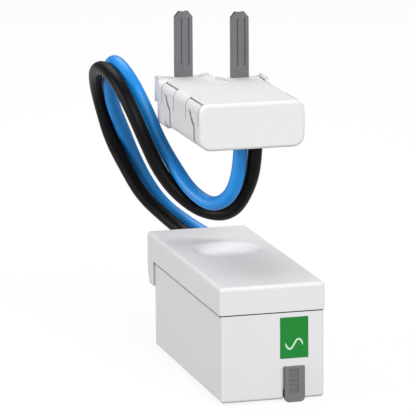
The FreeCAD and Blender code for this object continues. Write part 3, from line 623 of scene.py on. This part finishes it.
class SENSOR_OT_latch(bpy.types.Operator):
    """Finish the lock latch and fold its leaf spring."""
    bl_idname = "sensor.latch"
    bl_label = "Latch"

    def execute(self, context):
        colours = context.scene.sensor_colours
        grain = context.scene.sensor_sizes.grain
        grey = moulded_plastic("latch_grey", colours.latch, grain, roughness=0.5,
                               depth=0.000008, mottle=0.04, crevice=latch_crevice)
        dress(grey, "lock_latch")
        low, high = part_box("latch_spring")
        leaf = folded_leaf("spring_leaf", low, high)
        steel = rolled_metal("spring_steel", (0.6, 0.6, 0.6), stretch=(1, 0.06, 1),
                             roughness=0.25)
        leaf.data.materials.append(steel)
        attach(leaf, "housing")
        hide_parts("latch_spring")
        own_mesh(leaf)
        return {"FINISHED"}


class SENSOR_OT_window(bpy.types.Operator):
    """Finish the green status window and its lamp."""
    bl_idname = "sensor.window"
    bl_label = "Status window"

    def execute(self, context):
        colours = context.scene.sensor_colours
        grain = context.scene.sensor_sizes.grain
        dress(window_finish("window_green", colours.window, grain), "status_window")
        lamp = moulded_plastic("lamp_clear", (0.85, 0.85, 0.8), grain, roughness=0.15,
                               depth=0.000001)
        dress(lamp, "status_led")
        return {"FINISHED"}


def lead_curve(name, route, diameter):
    """A round cord on one smooth spline, with the route's points as its control points."""
    curve = bpy.data.curves.new(name, "CURVE")
    curve.dimensions = "3D"
    curve.resolution_u = LEAD_STEPS
    curve.bevel_depth = diameter / 2 * SHEATH_FACETS
    curve.bevel_resolution = LEAD_BEVEL
    curve.use_fill_caps = True
    spline = curve.splines.new("NURBS")
    spline.points.add(len(route) - 1)
    for point, place in zip(spline.points, route):
        point.co = (*place, 1.0)
    spline.order_u = 3
    spline.use_endpoint_u = True
    return placed(name, curve)


class SENSOR_OT_leads(bpy.types.Operator):
    """Lay the two leads on their routes."""
    bl_idname = "sensor.leads"
    bl_label = "Leads"

    def execute(self, context):
        colours = context.scene.sensor_colours
        sizes = context.scene.sensor_sizes
        black_gloss, blue_gloss = 0.12, 0.50
        leads = (
            ("black_sheath", BLACK_ROUTE, colours.black_lead, black_gloss, "lead_black",
             sizes.black_length),
            ("blue_sheath", BLUE_ROUTE, colours.blue_lead, blue_gloss, "lead_blue",
             sizes.blue_length),
        )
        for name, route, colour, gloss, node, length in leads:
            piece = lead_curve(name, route, sizes.lead_diameter)
            piece.data.materials.append(sheathing(name, colour, gloss))
            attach(piece, "housing")
            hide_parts(node)
        return {"FINISHED"}


class SENSOR_OT_plug_head(bpy.types.Operator):
    """Finish the plug head, its pins and crimps."""
    bl_idname = "sensor.plug_head"
    bl_label = "Plug head"

    def execute(self, context):
        colours = context.scene.sensor_colours
        grain = context.scene.sensor_sizes.grain
        white = moulded_plastic("plug_white", colours.plug_head, grain, roughness=0.5,
                                gloss=0.2, crevice=plug_crevice)
        dress(white, "connector_cover", "connector_base")
        carrier = moulded_plastic("carrier_white", (0.75, 0.75, 0.73), grain, roughness=0.55)
        dress(carrier, "pin_carrier")
        dress(rolled_metal("pin_metal", colours.pin), "pin_left", "pin_right")
        tin = rolled_metal("crimp_tin", (0.72, 0.72, 0.70), stretch=(1, 1, 0.1), roughness=0.3)
        dress(tin, "crimp_barrels")
        return {"FINISHED"}


def winding_tree(material):
    """Node tree that winds one wire round a ring as a closed helix with rounded-box turns."""
    net = Network(bpy.data.node_groups.new("ring_winding", "GeometryNodeTree"))
    face = net.tree.interface
    face.new_socket(name="Geometry", in_out="OUTPUT", socket_type="NodeSocketGeometry")
    counts = ("Turns", "Steps")
    lengths = ("Inner radius", "Outer radius", "Bottom", "Top", "Wire")
    for name in counts:
        face.new_socket(name=name, in_out="INPUT", socket_type="NodeSocketInt")
    for name in lengths:
        socket = face.new_socket(name=name, in_out="INPUT", socket_type="NodeSocketFloat")
        socket.subtype = "DISTANCE"
    turns, steps, inner, outer, bottom, top, wire = net.node(
        "NodeGroupInput", output=counts + lengths)

    def squared_off(wave):
        return wave.maths("SIGN") * wave.size().maths("POWER", COIL_SQUARENESS)

    index = net.node("GeometryNodeInputIndex")
    phase = index / steps * math.tau
    round_ring = index / (steps * turns) * math.tau
    out = squared_off(phase.maths("COSINE"))
    up = squared_off(phase.maths("SINE"))
    radius = (inner + outer) * 0.5 + out * (outer - inner - wire) * 0.5
    height = (bottom + top) * 0.5 + up * (top - bottom - wire) * 0.5
    place = net.node("ShaderNodeCombineXYZ", sockets={
        "X": radius * round_ring.maths("COSINE") + COIL_MIDDLE[0],
        "Y": radius * round_ring.maths("SINE") + COIL_MIDDLE[1],
        "Z": height,
    })
    circle = "GeometryNodeCurvePrimitiveCircle"
    ring = net.node(circle, sockets={"Resolution": steps * turns})
    helix = net.node("GeometryNodeSetPosition", sockets={"Geometry": ring, "Position": place})
    section = net.node(circle, sockets={"Resolution": WIRE_SIDES, "Radius": wire * 0.5})
    wound = net.node("GeometryNodeCurveToMesh", sockets={
        "Curve": helix, "Profile Curve": section,
    })
    real = net.node("GeometryNodeRealizeInstances", sockets={"Geometry": wound})
    coated = net.node("GeometryNodeSetMaterial", sockets={
        "Geometry": real, "Material": material,
    })
    net.node("NodeGroupOutput", sockets={"Geometry": coated})
    return net.tree


def grown(name, tree, sizes):
    """Runs a node tree with the given sizes and keeps what it makes as a plain mesh."""
    piece = placed(name, bpy.data.meshes.new(name))
    modifier = piece.modifiers.new(name, "NODES")
    modifier.node_group = tree
    for socket in tree.interface.items_tree:
        if socket.in_out == "INPUT":
            modifier[socket.identifier] = sizes[socket.name]
    made = piece.evaluated_get(bpy.context.evaluated_depsgraph_get())
    mesh = bpy.data.meshes.new_from_object(made)
    piece.modifiers.clear()
    piece.data = mesh
    return piece


class SENSOR_OT_winding(bpy.types.Operator):
    """Wind the current transformer's copper wire round its core."""
    bl_idname = "sensor.winding"
    bl_label = "Winding"

    def execute(self, context):
        low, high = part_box("ct_winding")
        copper = rolled_metal("winding_copper", (0.72, 0.32, 0.14), stretch=(1, 1, 1),
                              roughness=0.3)
        piece = grown("copper_winding", winding_tree(copper), {
            "Turns": COIL_TURNS, "Steps": COIL_STEPS, "Inner radius": COIL_INNER,
            "Outer radius": (high[0] - low[0]) / 2, "Bottom": low[2], "Top": high[2],
            "Wire": context.scene.sensor_sizes.wire,
        })
        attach(piece, "housing")
        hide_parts("ct_winding")
        return {"FINISHED"}


class SENSOR_OT_electronics(bpy.types.Operator):
    """Finish the boards, the transformer's core and the components."""
    bl_idname = "sensor.electronics"
    bl_label = "Electronics"

    def execute(self, context):
        grain = context.scene.sensor_sizes.grain
        dress(laminate("board_green", (0.03, 0.16, 0.06)), "main_board", "terminal_board")
        plastics = {
            "dropper_capacitor": (0.10, 0.14, 0.45),
            "fuse_resistor": (0.55, 0.40, 0.25),
            "varistor": (0.05, 0.20, 0.50),
            "meter_chip": (0.02, 0.02, 0.02),
            "link_wires": (0.45, 0.03, 0.03),
            "inner_leads": (0.05, 0.05, 0.05),
        }
        for node, colour in plastics.items():
            dress(moulded_plastic(node + "_body", colour, grain, roughness=0.45,
                                  depth=0.000005, mottle=0.06), node)
        metals = {
            "ct_core": (0.35, 0.35, 0.36),
            "buffer_capacitors": (0.75, 0.75, 0.77),
            "radio_shield": (0.70, 0.70, 0.70),
            "radio_antenna": (0.75, 0.73, 0.68),
        }
        for node, colour in metals.items():
            dress(rolled_metal(node + "_metal", colour, stretch=(1, 1, 0.2), roughness=0.35),
                  node)
        return {"FINISHED"}


def look_matrix(stage):
    """The camera's place and turn from its angles, its distance and the point it aims at."""
    a, e, r = stage.azimuth, stage.elevation, stage.roll
    back = Vector((math.sin(a) * math.cos(e), -math.cos(a) * math.cos(e), math.sin(e)))
    right = Vector((math.cos(a), math.sin(a), 0))
    up = back.cross(right)
    right_rolled = math.cos(r) * right + math.sin(r) * up
    up_rolled = math.cos(r) * up - math.sin(r) * right
    place = Vector(stage.aim) + stage.distance * back
    turn = Matrix((right_rolled, up_rolled, back)).transposed().to_4x4()
    return Matrix.Translation(place) @ turn


def soft_light(name, place, size, power):
    """A square lamp that points at the object."""
    lamp = bpy.data.lights.new(name, "AREA")
    lamp.shape = "SQUARE"
    lamp.size = size
    lamp.energy = power
    away = (Vector(place) - Vector(LIGHT_AIM)).normalized()
    turn = away.to_track_quat("Z", "Y").to_matrix().to_4x4()
    placed(name, lamp).matrix_world = Matrix.Translation(place) @ turn


def white_backdrop(finish, share, lit):
    """White to the camera and in reflections by the given share, and lit to everything else."""
    camera, glossy, through = finish.node("ShaderNodeLightPath", output=(
        "Is Camera Ray", "Is Glossy Ray", "Is Transmission Ray"))
    seen = (camera + glossy + through).clamped() * share
    white = finish.node("ShaderNodeEmission", sockets={"Color": WHITE, "Strength": 1.0})
    return finish.node("ShaderNodeMixShader", sockets={0: seen, 1: lit, 2: white})


def pale_floor():
    """The floor that takes the object's shadow and fades into the white."""
    low, high = -FLOOR_REACH, FLOOR_REACH
    mesh = bpy.data.meshes.new("floor")
    mesh.from_pydata([(low, low, 0), (high, low, 0), (high, high, 0), (low, high, 0)], [],
                     [(0, 1, 2, 3)])
    floor = placed("floor", mesh)
    paper = new_finish("pale_floor")
    bounced = paper.node("ShaderNodeBsdfDiffuse", sockets={"Color": FLOOR_BOUNCE})
    shaded = paper.node("ShaderNodeBsdfDiffuse", sockets={"Color": FLOOR_TONE})
    seen = paper.node("ShaderNodeLightPath", output="Is Camera Ray")
    lit = paper.node("ShaderNodeMixShader", sockets={0: seen, 1: bounced, 2: shaded})
    backdrop = white_backdrop(paper, FLOOR_WHITE, lit)
    paper.node("ShaderNodeOutputMaterial", sockets={"Surface": backdrop})
    mesh.materials.append(paper.owner)


def studio_sky(strength):
    """A world that lights softly and looks white to the camera."""
    sky = Finish(bpy.data.worlds.new("studio"))
    lit = sky.node("ShaderNodeBackground", sockets={"Color": WHITE, "Strength": strength})
    seen = sky.node("ShaderNodeLightPath", output="Is Camera Ray")
    white = sky.node("ShaderNodeBackground", sockets={"Color": WHITE, "Strength": 1.0})
    both = sky.node("ShaderNodeMixShader", sockets={0: seen, 1: lit, 2: white})
    sky.node("ShaderNodeOutputWorld", sockets={"Surface": both})
    return sky.owner


class SENSOR_OT_stage(bpy.types.Operator):
    """Set the floor, the soft lights and the camera."""
    bl_idname = "sensor.stage"
    bl_label = "Stage"

    def execute(self, context):
        scene = context.scene
        stage = scene.sensor_stage
        pale_floor()
        scene.world = studio_sky(stage.sky)
        for name, place, size, setting in LIGHTS:
            soft_light(name, place, size, getattr(stage, setting))

        camera = bpy.data.cameras.new("photo_camera")
        camera.sensor_width = FILM_WIDTH
        camera.lens = stage.lens
        camera.clip_end = VIEW_DEPTH
        scene.camera = placed("photo_camera", camera)
        scene.camera.matrix_world = look_matrix(stage)
        scene.view_settings.view_transform = "Standard"
        return {"FINISHED"}


class SENSOR_PT_panel(bpy.types.Panel):
    """Lists the makers of the pieces and their settings."""
    bl_label = "Energy sensor"
    bl_idname = "SENSOR_PT_panel"
    bl_space_type = "VIEW_3D"
    bl_region_type = "UI"
    bl_category = "Sensor"

    def draw(self, context):
        for operator in OPERATORS:
            self.layout.operator(operator.bl_idname)
        for group in GROUPS:
            settings = getattr(context.scene, group)
            for key in settings.__annotations__:
                self.layout.prop(settings, key)


OPERATORS = (
    SENSOR_OT_stage, SENSOR_OT_leads, SENSOR_OT_housing, SENSOR_OT_latch, SENSOR_OT_window,
    SENSOR_OT_plug_head, SENSOR_OT_winding, SENSOR_OT_electronics,
)
GROUPS = {
    "sensor_colours": SensorColours,
    "sensor_sizes": SensorSizes,
    "sensor_stage": StageSettings,
}


def register():
    for group, kind in GROUPS.items():
        bpy.utils.register_class(kind)
        setattr(bpy.types.Scene, group, bpy.props.PointerProperty(type=kind))
    for kind in OPERATORS + (SENSOR_PT_panel,):
        bpy.utils.register_class(kind)


def unregister():
    for kind in (SENSOR_PT_panel,) + OPERATORS[::-1]:
        bpy.utils.unregister_class(kind)
    for group, kind in GROUPS.items():
        delattr(bpy.types.Scene, group)
        bpy.utils.unregister_class(kind)


def main():
    register()
    for operator in OPERATORS:
        group, name = operator.bl_idname.split(".")
        getattr(getattr(bpy.ops, group), name)()


if __name__ == "__main__":
    main()
